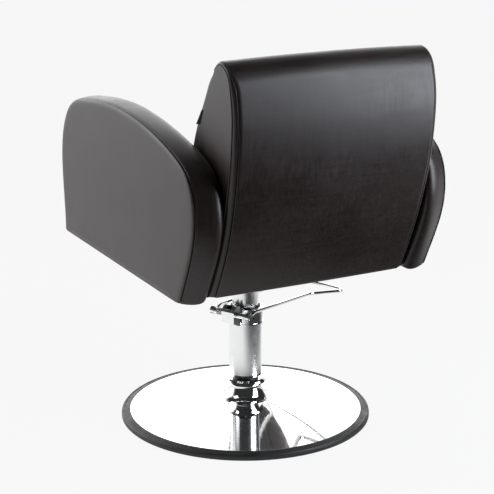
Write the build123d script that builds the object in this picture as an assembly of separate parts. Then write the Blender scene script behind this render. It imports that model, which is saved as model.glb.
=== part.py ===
import os

from build123d import *

# Styling chair: an upholstered tub shell on a hydraulic pump column with a
# round chromed base and a wire foot pedal.
# Millimetres. Origin on the floor under the column axis, +Z up, the sitter
# faces -Y, +X is the sitter's left.

# ---------------------------------------------------------------- driving sizes
# base
BASE_R = 300.0            # outside of the rubber trim ring
DISH_EDGE_R = 279.5       # where the chromed dish meets the trim ring
DISH_EDGE_Z = 16.0
DISH_WALL = 2.0
DISH_SAG = 2.5            # how far the dish hollows below its straight chord
BELL_FOOT_R = 64.0        # where the bell flare runs into the dish
BELL_FOOT_Z = 43.0
BELL_TOP_R = 38.0
BELL_TOP_Z = 80.0
PLATE_Z = (0.0, 10.0)     # ballast plate
FLANGE_R = 75.0
FLANGE_Z = (10.0, 20.0)
FLANGE_PCD = 110.0

# column
COLLAR_R = 51.5
COLLAR_Z = (80.0, 94.0)
NECK_R = 31.0
NECK_TOP_Z = 101.0
CYL_R = 29.0              # hydraulic cylinder, outside
CYL_BORE_R = 25.0
CYL_TOP_Z = 232.0
GLAND_Z = 222.0
LOWER_TUBE_R = 39.5
LOWER_TUBE_BORE_R = 37.5
LOWER_TUBE_Z = (105.0, 236.0)
SKIRT_R = 31.5            # sliding upper tube
SKIRT_BORE_R = 29.5
SKIRT_Z = (170.0, 372.0)
ROD_R = 16.0
ROD_FOOT_Z = 110.0
SPINDLE_R = 15.0
SPINDLE_TOP_Z = 424.0
RUNNING_FIT = 0.05        # radial clearance of running fits

# pump head
HEAD_R = 42.0
HEAD_Z = (236.0, 272.0)
HEAD_BORE_R = 36.0
BOSS_HALF = 18.0          # half width of the pedal bearing boss
SHAFT_U = -57.0           # cross shaft, measured along the pedal direction
SHAFT_Z = 265.0
SHAFT_R = 6.0
SHAFT_HALF = 57.0
PLUNGER_U = -44.0
PLUNGER_R = 3.5
PLUNGER_Z = (242.5, 256.0)
CAM_HALF = 6.0

# pedal
PEDAL_HEADING = 205.0     # direction of the pedal, degrees from +X
WIRE_R = 4.0
COLLAR_IN, COLLAR_OUT = 45.0, 56.0
# corners of the wire loop: along the pedal, sideways, height
LOOP_CORNERS = [
    (-50.0, 50.5, 267.0),
    (-30.0, 50.0, 272.0),
    (232.0, 45.0, 264.0),
    (299.0, 92.0, 254.0),
    (313.0, 0.0, 250.0),
    (299.0, -92.0, 250.0),
    (232.0, -32.0, 248.0),
    (-30.0, -50.0, 272.0),
    (-50.0, -50.5, 267.0),
]
LOOP_RADII = [20.0, 30.0, 9.0, 260.0, 9.0, 30.0, 20.0]

# shell
RAKE = 1.7                # the seat rises towards the front, degrees
SHELL_Z = 409.0           # underside of the shell above the column axis
ARM_IN_X, ARM_OUT_X = 251.5, 318.0
CORE_IN_X, CORE_OUT_X = 276.0, 294.0
ARM_PADDING = 14.0
ARM_SIDE_INSET = 4.0
SEAT_HALF = 249.0
RAIL_Z = (2.0, 24.0)      # heights above the shell underside, along the rake
BOARD_Z = (24.0, 39.0)
RAIL_W = 22.0
SEAT_FRONT, SEAT_REAR = -335.0, 262.0
CUSHION_FRONT, CUSHION_REAR = -345.0, 150.0
CUSHION_TOP = 122.0
CUSHION_SIDE = 248.5
BACK_HALF = 249.0
BACK_SIDE = 20.0          # thickness of the back's side gussets
BACK_EDGE_R = 18.0        # rounding between gusset and rear panel
REAR_PADDING = 14.0
BACK_BOARD = 15.0

# side outlines, (y, z)
ARM_OUTLINE = [
    (-340.0, 420.0), (-348.0, 560.0), (-337.0, 668.0), (-285.0, 741.0),
    (-198.0, 766.0), (-40.0, 776.0), (117.0, 760.0), (250.0, 724.0),
    (333.0, 673.0), (354.0, 607.0), (325.0, 490.0), (282.0, 401.0),
]
# the inner pad flares out behind the sitter's elbow
ARM_INNER_OUTLINE = ARM_OUTLINE[:7] + [
    (252.5, 729.0), (345.0, 681.0), (369.0, 607.0), (336.0, 486.0), (291.0, 400.7),
]
BACK_REAR = [
    (292.5, 404.5), (333.0, 485.0), (390.0, 651.0), (408.0, 770.0),
    (404.0, 855.0), (387.0, 895.0), (356.0, 919.0),
]
BACK_FRONT = [
    (333.0, 919.0), (311.0, 900.0), (285.0, 857.0), (234.0, 765.0),
    (205.0, 690.0), (176.0, 600.0), (159.0, 444.5),
]
BACK_FOOT = [(266.0, 441.5), (266.0, 405.4)]

# Blank ribbon tab sewn into the left front seam of the back, (y, z); its lower corner stands clear.
LABEL_CORNERS = [(270.5, 808.0), (265.5, 809.5), (239.3, 774.2), (257.5, 776.9)]
LABEL_THICKNESS = 0.8

os.makedirs("parts", exist_ok=True)


# ---------------------------------------------------------------- helpers
def disc(radius, z0, z1):
    return Pos(0, 0, z0) * Cylinder(radius, z1 - z0, align=(Align.CENTER, Align.CENTER, Align.MIN))


def tube(r_in, r_out, z0, z1):
    return disc(r_out, z0, z1) - disc(r_in, z0 - 1, z1 + 1)


def turned(face_edges):
    """Revolve a closed (radius, height) outline about the column axis."""
    return revolve(Plane.XZ * make_face(face_edges), Axis.Z)


def block(x0, x1, y0, y1, z0, z1):
    size = (x1 - x0, y1 - y0, z1 - z0)
    return Pos(x0, y0, z0) * Box(*size, align=(Align.MIN, Align.MIN, Align.MIN))


def side_slab(face, x0, x1):
    """Extrude a (y, z) face between two x positions."""
    return Pos(x0, 0, 0) * extrude(Plane.YZ * face, x1 - x0)


def raked(shape):
    """Place a seat part drawn level, with z = 0 on the shell's underside."""
    return Pos(0, 0, SHELL_Z) * Rot(-RAKE, 0, 0) * shape


def on_pedal(shape):
    """Turn a shape drawn with the pedal along +X to the pedal's heading."""
    return Rot(0, 0, PEDAL_HEADING) * shape


def cross_rod(radius, u, z, half):
    """A rod across the pedal direction, centred on it."""
    return Pos(u, 0, z) * Rot(90, 0, 0) * Cylinder(radius, 2 * half)


def hex_bolt(radius, head_r, head_h, length):
    """Head below z = 0, shank above."""
    head = extrude(RegularPolygon(head_r, 6), -head_h)
    return head + disc(radius, 0, length)


def inset(points, distance):
    """Move every corner of a convex (y, z) outline, listed clockwise, inwards by a distance."""
    moved = []
    for before, here, after in zip(points[-1:] + points[:-1], points, points[1:] + points[:1]):
        into = Vector(here[0] - before[0], here[1] - before[1]).normalized()
        out = Vector(after[0] - here[0], after[1] - here[1]).normalized()
        normal_in = Vector(into.Y, -into.X)
        normal_out = Vector(out.Y, -out.X)
        step = (normal_in + normal_out) * (distance / (1 + normal_in.dot(normal_out)))
        moved.append((here[0] + step.X, here[1] + step.Y))
    return moved


def mirrored(shape):
    return mirror(shape, Plane.YZ)


def save(name, shape):
    export_step(shape, f"parts/{name}.step")


# ---------------------------------------------------------------- base
def dish_top(radius):
    """Height of the dish's straight chord at a radius."""
    slope = (BELL_FOOT_Z - DISH_EDGE_Z) / (DISH_EDGE_R - BELL_FOOT_R)
    return DISH_EDGE_Z + slope * (DISH_EDGE_R - radius)


def dish_outline(wall):
    """Upper line of the dish and bell, moved in and down by a wall thickness."""
    edge = (DISH_EDGE_R - wall, DISH_EDGE_Z - wall)
    middle_r = (DISH_EDGE_R + BELL_FOOT_R) / 2
    middle = (middle_r, dish_top(middle_r) - DISH_SAG - wall)
    foot = (BELL_FOOT_R - wall, BELL_FOOT_Z - wall)
    top = (BELL_TOP_R - wall, BELL_TOP_Z)
    dome = ThreePointArc(edge, middle, foot)
    bell = Spline(foot, (BELL_TOP_R + 5.5 - wall, 60.0), top,
                  tangents=[(-1.0, 0.22), (0.0, 1.0)])
    return dome, bell, edge, top


def make_base_dish():
    outer_dome, outer_bell, outer_edge, outer_top = dish_outline(0.0)
    inner_dome, inner_bell, inner_edge, inner_top = dish_outline(DISH_WALL)
    skirt_z = PLATE_Z[0]
    rim = Polyline(outer_edge, (DISH_EDGE_R, skirt_z), (DISH_EDGE_R - DISH_WALL, skirt_z), inner_edge)
    return turned(outer_dome + outer_bell + Line(outer_top, inner_top) + inner_bell + inner_dome + rim)


def make_trim_ring():
    outline = Polyline(
        (DISH_EDGE_R, 0.0), (DISH_EDGE_R, 16.6), (DISH_EDGE_R + 3, 16.6),
        (BASE_R - 7.0, 13.4), (BASE_R - 5.0, 14.4), (BASE_R - 2.6, 13.6),
        (BASE_R - 0.6, 11.0), (BASE_R, 8.0), (BASE_R, 2.0), (BASE_R - 2.0, 0.0),
        close=True)
    return turned(outline)


def bolt_circle(pcd, count, shape):
    places = [Rot(0, 0, 45 + 360 / count * i) * Pos(pcd / 2, 0, 0) for i in range(count)]
    return [place * shape for place in places]


flange_bolts = bolt_circle(FLANGE_PCD, 4, Pos(0, 0, FLANGE_Z[1]) * Rot(180, 0, 0)
                           * hex_bolt(5.0, 9.0, 6.5, FLANGE_Z[1] - PLATE_Z[0] - 2))
base_dish = make_base_dish()
base_trim_ring = make_trim_ring()
base_weight_plate = disc(DISH_EDGE_R - DISH_WALL, *PLATE_Z)
pump_flange = disc(FLANGE_R, *FLANGE_Z)
for bolt in flange_bolts:
    base_weight_plate -= bolt
    pump_flange -= bolt

save("base_dish", base_dish)
save("base_trim_ring", base_trim_ring)
save("base_weight_plate", base_weight_plate)
save("pump_flange", pump_flange)
save("flange_bolts", Compound(flange_bolts))

# ---------------------------------------------------------------- column, fixed part
pump_cylinder = tube(CYL_BORE_R, CYL_R, FLANGE_Z[1], CYL_TOP_Z) + disc(CYL_R, FLANGE_Z[1], FLANGE_Z[1] + 6)
neck_sleeve = tube(CYL_R, NECK_R, BELL_TOP_Z, NECK_TOP_Z)
base_collar = turned(Polyline(
    (NECK_R, COLLAR_Z[0]), (COLLAR_R - 6, COLLAR_Z[0]), (COLLAR_R - 1, COLLAR_Z[0] + 3.5),
    (COLLAR_R, COLLAR_Z[0] + 7), (COLLAR_R - 1.5, COLLAR_Z[0] + 11), (COLLAR_R - 6, COLLAR_Z[1]),
    (NECK_R, COLLAR_Z[1]), close=True))
tube_seat_ring = tube(CYL_R, LOWER_TUBE_R + 1.0, NECK_TOP_Z, LOWER_TUBE_Z[0])
lower_tube = tube(LOWER_TUBE_BORE_R, LOWER_TUBE_R, *LOWER_TUBE_Z)
head_ring = tube(LOWER_TUBE_R, HEAD_R + 1.5, HEAD_Z[0] - 3.0, HEAD_Z[0])
cylinder_gland = tube(ROD_R + RUNNING_FIT, CYL_BORE_R, GLAND_Z, CYL_TOP_Z)
guide_bush = tube(SKIRT_R + RUNNING_FIT, HEAD_BORE_R, HEAD_Z[0] + 4, HEAD_Z[1] - 4)
wiper_seal = tube(SKIRT_R + 0.3, HEAD_BORE_R, HEAD_Z[1] - 4, HEAD_Z[1] + 2)


def make_pump_head():
    arch = ThreePointArc((-71.0, 269.0), (-66.3, 280.3), (-55.0, 285.0))
    rest = Polyline((-55.0, 285.0), (-46.0, 283.0), (-28.0, HEAD_Z[1]), (-28.0, HEAD_Z[0]),
                    (-52.0, HEAD_Z[0]), (-71.0, 246.0), (-71.0, 269.0))
    boss_face = Plane.XZ * make_face(arch + rest)
    boss = Pos(0, BOSS_HALF, 0) * extrude(boss_face, 2 * BOSS_HALF)
    head = disc(HEAD_R, *HEAD_Z) + boss
    head -= disc(SKIRT_R + 0.5, HEAD_Z[0] - 1, HEAD_Z[1] + 1)
    head -= disc(HEAD_BORE_R, HEAD_Z[0] + 4, HEAD_Z[1] + 20)
    head -= cross_rod(SHAFT_R + RUNNING_FIT, SHAFT_U, SHAFT_Z, SHAFT_HALF)
    head -= block(-69.0, -38.5, -CAM_HALF - 0.4, CAM_HALF + 0.4, 250.0, 300.0)
    head -= Pos(PLUNGER_U, 0, 0) * disc(PLUNGER_R + RUNNING_FIT, HEAD_Z[0] + 2, 260.0)
    return head


def screw_places():
    """Set screws round the head, two beside the boss and one opposite it."""
    return [Rot(0, 0, angle) * Pos(HEAD_R, 0, 251) * Rot(0, 90, 0) for angle in (117.0, -117.0, 0.0)]


screw = Pos(0, 0, -4.0) * Cylinder(3.0, 4.6, align=(Align.CENTER, Align.CENTER, Align.MIN))
screw -= Pos(0, 0, -1.6) * extrude(RegularPolygon(1.6, 6), 3.0)
head_screws = [place * screw for place in screw_places()]
pump_head = make_pump_head()
for place in screw_places():
    pump_head -= place * Pos(0, 0, -4.0) * Cylinder(3.0, 8.0, align=(Align.CENTER, Align.CENTER, Align.MIN))

coil_height, coil_pitch, coil_mean_r, coil_wire_r = 20.0, 3.3, 7.6, 0.9
coil_path = Helix(pitch=coil_pitch, height=coil_height, radius=coil_mean_r)
coil = sweep(Plane(origin=coil_path @ 0, z_dir=coil_path % 0) * Circle(coil_wire_r), path=coil_path)
pedal_return_spring = Pos(SHAFT_U, BOSS_HALF + coil_wire_r + 1.0, SHAFT_Z) * Rot(-90, 0, 0) * coil

save("pump_cylinder", pump_cylinder)
save("neck_sleeve", neck_sleeve)
save("base_collar", base_collar)
save("tube_seat_ring", tube_seat_ring)
save("lower_tube", lower_tube)
save("head_ring", head_ring)
save("cylinder_gland", cylinder_gland)
save("guide_bush", guide_bush)
save("wiper_seal", wiper_seal)
save("pump_head", on_pedal(pump_head))
save("head_screws", on_pedal(Compound(head_screws)))
save("pedal_return_spring", on_pedal(pedal_return_spring))

# ---------------------------------------------------------------- pedal
shaft = cross_rod(SHAFT_R, SHAFT_U, SHAFT_Z, SHAFT_HALF)


def make_collars():
    """Clamping collars that carry the wire on both ends of the cross shaft."""
    width = COLLAR_OUT - COLLAR_IN
    ring = cross_rod(10.0, SHAFT_U, SHAFT_Z, width / 2) - cross_rod(SHAFT_R, SHAFT_U, SHAFT_Z, width)
    middle = (COLLAR_IN + COLLAR_OUT) / 2
    return [Pos(0, side * middle, 0) * ring for side in (1, -1)]


def make_loop():
    path = FilletPolyline(*LOOP_CORNERS, radius=LOOP_RADII)
    return sweep(Plane(origin=path @ 0, z_dir=path % 0) * Circle(WIRE_R), path=path)


def make_cam():
    """Lever on the cross shaft whose nose rests on the pump plunger."""
    nose_z = PLUNGER_Z[1] + 4.0
    hub = cross_rod(9.0, SHAFT_U, SHAFT_Z, CAM_HALF)
    nose = cross_rod(4.0, PLUNGER_U, nose_z, CAM_HALF)
    web_face = Plane.XZ * make_face(Polyline((SHAFT_U, SHAFT_Z + 7), (PLUNGER_U + 1, nose_z + 3.8),
                                             (PLUNGER_U - 2, nose_z - 3.4), (SHAFT_U, SHAFT_Z - 8),
                                             close=True))
    web = Pos(0, CAM_HALF, 0) * extrude(web_face, 2 * CAM_HALF)
    return hub + nose + web - cross_rod(SHAFT_R, SHAFT_U, SHAFT_Z, 2 * CAM_HALF)


pedal_loop = make_loop()
collars = make_collars()
for ring in collars:
    pedal_loop -= ring
pedal_loop -= shaft
save("pedal_cross_shaft", on_pedal(shaft))
save("pedal_collars", on_pedal(Compound(collars)))
save("pedal_cam", on_pedal(make_cam()))
save("pedal_loop", on_pedal(pedal_loop))
save("pump_plunger", on_pedal(Pos(PLUNGER_U, 0, 0) * disc(PLUNGER_R, *PLUNGER_Z)))

# ---------------------------------------------------------------- column, sliding part
piston_rod = disc(ROD_R, ROD_FOOT_Z, SKIRT_Z[1] - 6) + disc(SPINDLE_R, SKIRT_Z[1] - 6, SPINDLE_TOP_Z)
piston_head = tube(ROD_R - 4, CYL_BORE_R - RUNNING_FIT, ROD_FOOT_Z, ROD_FOOT_Z + 18)
piston_rod -= tube(ROD_R - 4, ROD_R + 2, ROD_FOOT_Z, ROD_FOOT_Z + 18)
column_skirt = tube(SKIRT_BORE_R, SKIRT_R, *SKIRT_Z)
skirt_cap = tube(SPINDLE_R, SKIRT_BORE_R, SKIRT_Z[1] - 6, SKIRT_Z[1])
thrust_washer = tube(SPINDLE_R, SKIRT_BORE_R - 1, SKIRT_Z[1], SKIRT_Z[1] + 2.5)
save("piston_rod", piston_rod)
save("piston_head", piston_head)
save("column_skirt", column_skirt)
save("skirt_cap", skirt_cap)
save("thrust_washer", thrust_washer)

# ---------------------------------------------------------------- seat
PLATE_HALF = 100.0
PLATE_THICK = 5.0
PLATE_BOLT = 75.0         # half spacing of the mounting bolts
HUB_R = 28.0
bolt_xy = [(x, y) for x in (-PLATE_BOLT, PLATE_BOLT) for y in (-PLATE_BOLT, PLATE_BOLT)]

mount_bolts = [raked(Pos(x, y, BOARD_Z[0] - PLATE_THICK) * hex_bolt(4.0, 7.5, 5.3, PLATE_THICK + 14.0))
               for x, y in bolt_xy]
plate = raked(block(-PLATE_HALF, PLATE_HALF, -PLATE_HALF, PLATE_HALF, BOARD_Z[0] - PLATE_THICK, BOARD_Z[0]))
hub = disc(HUB_R, SKIRT_Z[1] + 2.7, SHELL_Z + BOARD_Z[0] - 2.0)
mount_plate = plate + hub - disc(SPINDLE_R + RUNNING_FIT, SKIRT_Z[1], SPINDLE_TOP_Z + 1.0)
seat_board = raked(block(-SEAT_HALF, SEAT_HALF, SEAT_FRONT, SEAT_REAR, *BOARD_Z))
for bolt in mount_bolts:
    mount_plate -= bolt
    seat_board -= bolt

rail_left = block(SEAT_HALF - RAIL_W, SEAT_HALF, SEAT_FRONT, SEAT_REAR, *RAIL_Z)
rail_front = block(-SEAT_HALF + RAIL_W, SEAT_HALF - RAIL_W, SEAT_FRONT, SEAT_FRONT + RAIL_W, *RAIL_Z)
rail_rear = block(-SEAT_HALF + RAIL_W, SEAT_HALF - RAIL_W, SEAT_REAR - RAIL_W, SEAT_REAR, *RAIL_Z)
dust_cover = block(-SEAT_HALF + 3, SEAT_HALF - 3, SEAT_FRONT + 3, SEAT_REAR - 3, RAIL_Z[0] - 1.2, RAIL_Z[0])
dust_cover -= disc(60.0, -5, 5)

cushion_side_face = make_face(
    Polyline((CUSHION_FRONT + 40, CUSHION_TOP), (CUSHION_REAR, CUSHION_TOP - 6), (CUSHION_REAR, BOARD_Z[1]),
             (CUSHION_FRONT, BOARD_Z[1]), (CUSHION_FRONT, CUSHION_TOP - 36))
    + ThreePointArc((CUSHION_FRONT, CUSHION_TOP - 36), (CUSHION_FRONT + 11, CUSHION_TOP - 10),
                    (CUSHION_FRONT + 40, CUSHION_TOP)))
seat_cushion = raked(side_slab(cushion_side_face, -CUSHION_SIDE, CUSHION_SIDE))
seat_front_cover = raked(block(-CUSHION_SIDE, CUSHION_SIDE, CUSHION_FRONT, SEAT_FRONT, RAIL_Z[0] - 2, BOARD_Z[1]))

save("mount_plate", mount_plate)
save("mount_bolts", Compound(mount_bolts))
save("seat_board", seat_board)
save("seat_rail_front", raked(rail_front))
save("dust_cover", raked(dust_cover))
save("seat_cushion", seat_cushion)
save("seat_front_cover", seat_front_cover)

# ---------------------------------------------------------------- arms
def arm_outline(distance, outline=ARM_OUTLINE):
    """An arm's D outline, moved inwards by a distance."""
    points = inset(outline, distance)
    return make_face(Spline(*points) + Line(points[-1], points[0]))


arm_face = arm_outline(0.0)
core_face = arm_outline(ARM_PADDING)
inner_pad_face = arm_outline(ARM_SIDE_INSET, ARM_INNER_OUTLINE)
arm_core = side_slab(core_face, CORE_IN_X, CORE_OUT_X)
arm_inner_pad = side_slab(inner_pad_face, ARM_IN_X, CORE_IN_X)
arm_outer_pad = side_slab(arm_face, CORE_OUT_X, ARM_OUT_X)
arm_band = side_slab(arm_face, CORE_IN_X, CORE_OUT_X) - side_slab(core_face, CORE_IN_X - 1, CORE_OUT_X + 1)

arm_bolts = [raked(Pos(SEAT_HALF - RAIL_W, y, 13.5) * Rot(0, 90, 0) * hex_bolt(4.0, 7.5, 5.3, 60.0))
             for y in (-220.0, -40.0, 140.0)]
seat_rail_left = raked(rail_left)
for bolt in arm_bolts:
    arm_core -= bolt
    arm_inner_pad -= bolt
    arm_band -= bolt
    seat_rail_left -= bolt

for side, place in (("left", lambda s: s), ("right", mirrored)):
    save(f"seat_rail_{side}", place(seat_rail_left))
    save(f"arm_core_{side}", place(arm_core))
    save(f"arm_inner_pad_{side}", place(arm_inner_pad))
    save(f"arm_outer_pad_{side}", place(arm_outer_pad))
    save(f"arm_band_{side}", place(arm_band))
    save(f"arm_bolts_{side}", place(Compound(arm_bolts)))

# ---------------------------------------------------------------- back
def shifted(points, dy):
    return [(y + dy, z) for y, z in points]


def behind(dy):
    """Everything behind the back's rear line, moved forward by dy."""
    line = shifted(BACK_REAR, -dy)
    low, high = line[0], line[-1]
    below, above = low[1] - 60, high[1] + 60
    far = BACK_REAR[3][0] + 100
    frame = Polyline(high, (high[0] - 30, above), (far, above), (far, below), (low[0] - 24, below), low)
    return side_slab(make_face(Spline(*line) + frame), -BACK_HALF - 20, BACK_HALF + 20)


back_outline = (Spline(*BACK_REAR) + Line(BACK_REAR[-1], BACK_FRONT[0]) + Spline(*BACK_FRONT)
                + Polyline(BACK_FRONT[-1], *BACK_FOOT, BACK_REAR[0]))
back_face = make_face(back_outline)
back_side_left = side_slab(back_face, BACK_HALF - BACK_SIDE, BACK_HALF)
outer_edges = back_side_left.faces().sort_by(Axis.X)[-1].edges()
rear_edges = [edge for edge in outer_edges if edge.center().Y > BACK_FRONT[0][0]]
back_side_left = fillet(rear_edges, BACK_EDGE_R)
back_body = side_slab(back_face, -BACK_HALF + BACK_SIDE, BACK_HALF - BACK_SIDE)
back_rear_panel = back_body & behind(REAR_PADDING)
board_zone = back_body - behind(REAR_PADDING)
back_board = (board_zone & behind(REAR_PADDING + BACK_BOARD)) & block(-300, 300, 0, 600, 400, 870)
back_cushion = board_zone - back_board

BRACKET_W = 40.0
BRACKET_T = 4.0


def make_bracket(x):
    """Steel angle from the top of the seat board up the front of the back board."""
    foot_z = SHELL_Z + BOARD_Z[1]
    foot = raked(block(x - BRACKET_W / 2, x + BRACKET_W / 2, 190.0, SEAT_REAR, BOARD_Z[1], BOARD_Z[1] + BRACKET_T))
    strip_face = make_face(Polyline((262.0, foot_z - 7.0), (262.0, foot_z + 2), (306.0, 560.0),
                                    (301.5, 560.0), (257.5, foot_z + 3), (257.5, foot_z - 7.0), close=True))
    return foot + side_slab(strip_face, x - BRACKET_W / 2, x + BRACKET_W / 2)


back_brackets = [make_bracket(x) - back_board for x in (-150.0, 150.0)]
back_bolts = [raked(Pos(x, SEAT_REAR - RAIL_W, 13.0) * Rot(-90, 0, 0) * hex_bolt(4.0, 7.5, 5.3, 46.0))
              for x in (-190.0, -60.0, 60.0, 190.0)]
seat_rail_rear_drilled = raked(rail_rear)
for bolt in back_bolts:
    seat_rail_rear_drilled -= bolt
    back_board -= bolt
    back_cushion -= bolt
    back_rear_panel -= bolt
for bracket in back_brackets:
    back_cushion -= bracket

label_outline = Polyline(*LABEL_CORNERS, close=True)
label_tab = side_slab(make_face(label_outline), BACK_HALF, BACK_HALF + LABEL_THICKNESS)

save("seat_rail_rear", seat_rail_rear_drilled)
save("back_side_left", back_side_left)
save("back_side_right", mirrored(back_side_left))
save("back_rear_panel", back_rear_panel)
save("back_board", back_board)
save("back_cushion", back_cushion)
save("back_brackets", Compound(back_brackets))
save("back_bolts", Compound(back_bolts))
save("back_label_tab", label_tab)
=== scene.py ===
"""Looks of the styling chair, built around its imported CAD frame."""

import math

import bmesh
import bpy
import numpy as np
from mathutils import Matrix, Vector, noise
from mathutils.bvhtree import BVHTree


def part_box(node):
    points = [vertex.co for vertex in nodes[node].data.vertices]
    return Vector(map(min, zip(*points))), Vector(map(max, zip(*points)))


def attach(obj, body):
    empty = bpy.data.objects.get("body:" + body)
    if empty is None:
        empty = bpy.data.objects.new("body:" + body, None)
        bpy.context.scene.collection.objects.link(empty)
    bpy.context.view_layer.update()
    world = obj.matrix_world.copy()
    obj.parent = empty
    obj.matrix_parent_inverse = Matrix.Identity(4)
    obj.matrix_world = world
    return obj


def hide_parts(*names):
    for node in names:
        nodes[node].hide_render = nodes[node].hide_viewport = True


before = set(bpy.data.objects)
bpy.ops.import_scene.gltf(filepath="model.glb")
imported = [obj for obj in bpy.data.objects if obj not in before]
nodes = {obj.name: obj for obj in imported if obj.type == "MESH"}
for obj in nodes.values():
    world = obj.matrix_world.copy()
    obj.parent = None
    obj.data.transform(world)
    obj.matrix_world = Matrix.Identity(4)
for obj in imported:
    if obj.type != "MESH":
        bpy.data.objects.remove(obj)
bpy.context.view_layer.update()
scene = bpy.context.scene
MM = 0.001
SIDES = (("left", 1), ("right", -1))


# ================================================================ materials
class Shader:
    """A node material with a Principled surface, built from small pieces."""

    def __init__(self, name, **fixed):
        self.material = bpy.data.materials.new(name)
        self.material.use_nodes = True
        self.tree = self.material.node_tree
        self.surface = self.tree.nodes["Principled BSDF"]
        self.place = self.tree.nodes.new("ShaderNodeTexCoord").outputs["Object"]
        for socket, value in fixed.items():
            self.surface.inputs[socket.replace("_", " ")].default_value = value

    def node(self, kind, output=0, settings=(), **inputs):
        made = self.tree.nodes.new("ShaderNode" + kind)
        for key, value in dict(settings).items():
            setattr(made, key, value)
        for key, value in inputs.items():
            socket = made.inputs[int(key[1:])] if key[0] == "_" else made.inputs[key.replace("_", " ")]
            self.put(socket, value)
        return made.outputs[output]

    def put(self, socket, value):
        if isinstance(value, bpy.types.NodeSocket):
            self.tree.links.new(value, socket)
        else:
            socket.default_value = value

    def stretched(self, scale):
        """Object coordinates, scaled along each axis."""
        return self.node("Mapping", Vector=self.place, Scale=scale)

    def noise(self, scale, detail=3.0, place=None, roughness=0.5):
        return self.node("TexNoise", Vector=place or self.place, Scale=scale, Detail=detail,
                         Roughness=roughness)

    def cells(self, scale, feature="F1", place=None):
        return self.node("TexVoronoi", settings={"feature": feature}, Vector=place or self.place,
                         Scale=scale)

    def maths(self, operation, first, second):
        return self.node("Math", settings={"operation": operation}, _0=first, _1=second)

    def between(self, value, low, high, start=0.0, end=1.0):
        """Value from start to end, spread to low to high."""
        return self.node("MapRange", Value=value, From_Min=start, From_Max=end, To_Min=low, To_Max=high)

    def soft(self, value, start, end, low, high):
        """As between, but easing in and out."""
        return self.node("MapRange", settings={"interpolation_type": "SMOOTHSTEP"}, Value=value,
                         From_Min=start, From_Max=end, To_Min=low, To_Max=high)

    def tint(self, value, dark, light, start=0.3, end=0.7):
        ramp = self.tree.nodes.new("ShaderNodeValToRGB")
        self.put(ramp.inputs[0], value)
        for stop, place, colour in zip(ramp.color_ramp.elements, (start, end), (dark, light)):
            stop.position, stop.color = place, (*colour, 1.0)
        return ramp.outputs[0]

    def bumps(self, *layers):
        """Each layer is a height, its depth in metres and its strength."""
        normal = None
        for height, depth, strength in layers:
            made = self.tree.nodes.new("ShaderNodeBump")
            made.inputs["Strength"].default_value = strength
            made.inputs["Distance"].default_value = depth
            self.put(made.inputs["Height"], height)
            if normal is not None:
                self.put(made.inputs["Normal"], normal)
            normal = made.outputs[0]
        self.put(self.surface.inputs["Normal"], normal)

    def finish(self, colour=None, roughness=None):
        if colour is not None:
            self.put(self.surface.inputs["Base Color"], colour)
        if roughness is not None:
            self.put(self.surface.inputs["Roughness"], roughness)
        return self.material


def leatherette():
    """Black upholstery vinyl: pebbled grain, a linen emboss that runs in long streaks, and polish marks."""
    s = Shader("black_leatherette", Specular_IOR_Level=0.5, Sheen_Weight=0.05, Sheen_Roughness=0.4)
    pebbles = s.cells(900.0, "SMOOTH_F1")
    warp = s.noise(1.0, 3.0, s.stretched((210.0, 210.0, 8.0)), 0.65)
    weft = s.noise(1.0, 3.0, s.stretched((8.0, 8.0, 230.0)), 0.65)
    threads = s.noise(1.0, 2.0, s.stretched((1500.0, 1500.0, 90.0)))
    wear = s.noise(9.0, 4.0)
    slack = s.noise(22.0, 2.0)
    linen = s.maths("ADD", warp, s.maths("MULTIPLY", weft, 0.6))
    streaks = s.maths("MULTIPLY", s.maths("ADD", s.maths("MULTIPLY", wear, 0.4), linen), 0.5)
    s.bumps((slack, 0.0006, 0.25), (linen, 0.00016, 0.35), (threads, 0.00008, 0.3), (pebbles, 0.00014, 0.30))
    rough = s.maths("ADD", s.between(wear, 0.34, 0.42, 0.3, 0.7), s.between(linen, -0.06, 0.06, 0.55, 1.05))
    return s.finish(s.tint(streaks, (0.0115, 0.0068, 0.0060), (0.0245, 0.0150, 0.0136), 0.38, 0.62), rough)


def chrome(name="polished_chrome", rough=(0.025, 0.075)):
    """Bright plated steel, with a faint ripple from polishing and a little dust haze."""
    s = Shader(name, Metallic=1.0)
    ripple = s.noise(14.0, 2.0)
    haze = s.noise(60.0, 5.0, roughness=0.7)
    s.bumps((ripple, 0.0004, 0.10), (haze, 0.00005, 0.05))
    return s.finish(s.tint(haze, (0.87, 0.875, 0.88), (0.93, 0.932, 0.935)), s.between(haze, *rough, 0.35, 0.75))


def rubber():
    s = Shader("black_rubber", Specular_IOR_Level=0.45)
    speckle = s.noise(1400.0, 3.0)
    scuff = s.noise(30.0, 5.0, s.stretched((1.0, 1.0, 4.0)), 0.65)
    s.bumps((scuff, 0.0003, 0.2), (speckle, 0.00012, 0.35))
    return s.finish(s.tint(scuff, (0.008, 0.008, 0.009), (0.022, 0.021, 0.021)), s.between(scuff, 0.36, 0.58, 0.3, 0.7))


def metal(name, dark, light, rough, grain, depth, metallic=1.0):
    """A plain metal: fine directional grain or casting texture, with slight stains."""
    s = Shader(name, Metallic=metallic)
    stain = s.noise(38.0, 5.0, roughness=0.6)
    fine = s.noise(1.0, 3.0, s.stretched(grain))
    s.bumps((stain, 0.0002, 0.15), (fine, depth, 0.4))
    mixed = s.maths("ADD", s.maths("MULTIPLY", stain, 0.6), s.maths("MULTIPLY", fine, 0.4))
    return s.finish(s.tint(mixed, dark, light), s.between(mixed, rough[0], rough[1], 0.3, 0.7))


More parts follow.
